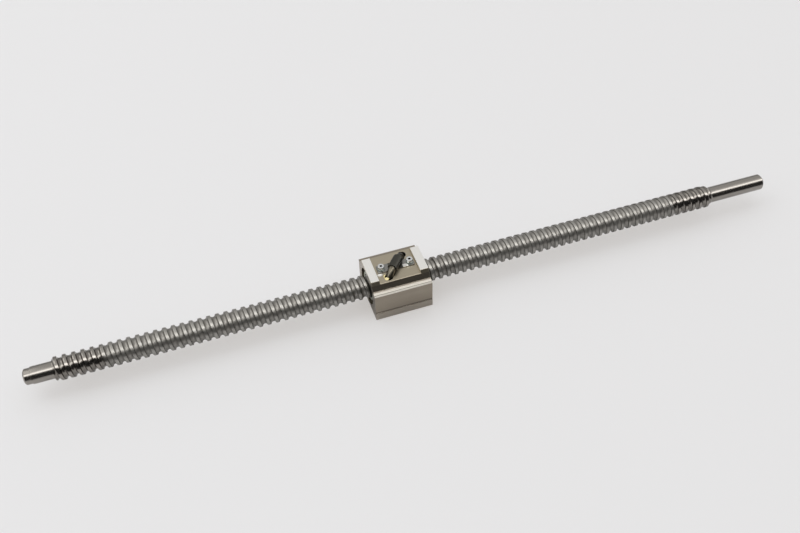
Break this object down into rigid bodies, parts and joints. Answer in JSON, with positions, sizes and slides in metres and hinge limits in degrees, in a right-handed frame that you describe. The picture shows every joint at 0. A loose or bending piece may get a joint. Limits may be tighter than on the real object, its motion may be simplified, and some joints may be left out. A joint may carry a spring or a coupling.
{
  "type": "ball screw",
  "caption": "Rolled ball screw with a square block nut, an outside ball return tube and plain stub journals for turning rotation into straight travel.",
  "frame": {"origin": "centre of the nut's ground mounting face, below the screw axis", "axes": "+X along the screw axis towards the long journal, +Y across the nut, +Z from the mounting face up to the return tube"},
  "size_m": [0.462, 0.033, 0.0292],
  "materials": {
    "nut_steel": "warm grey phosphate-like steel with ground top strips and ground base",
    "screw_steel": "rolled and hardened steel, satin along the thread, turned bright at both ends",
    "tube_steel": "dark bent steel tube, satin",
    "clamp_steel": "pressed sheet steel",
    "bright_fastener": "bright zinc plated",
    "washer_steel": "bright spring steel",
    "seal_resin": "grey-green moulded resin",
    "spring_steel": "dark spring steel",
    "ball_steel": "polished bearing steel"
  },
  "bodies": {
    "nut": {"nut_block": "nut_steel", "return_tube": "tube_steel", "tube_clamp": "clamp_steel", "left_clamp_screw": "bright_fastener", "right_clamp_screw": "bright_fastener", "left_spring_washer": "washer_steel", "right_spring_washer": "washer_steel", "left_seal": "seal_resin", "right_seal": "seal_resin", "right_seal_ring": "spring_steel", "track_balls": "ball_steel", "tube_balls": "ball_steel"},
    "turning_ring": {"left_seal_ring": "spring_steel"},
    "screw": {"screw_shaft": "screw_steel"}
  },
  "joints": [
    {"name": "screw_spin", "type": "hinge", "parent": "nut", "child": "turning_ring", "pos_m": [0, 0, 0.013], "axis": [1, 0, 0], "range_deg": [-13356, 12636]},
    {"name": "screw_travel", "type": "slide", "parent": "turning_ring", "child": "screw", "axis": [1, 0, 0], "range_m": [-0.185, 0.175]}
  ],
  "couplings": [
    {"joint": "screw_spin", "follows": "screw_travel", "rad_per_m": 1256.6}
  ]
}
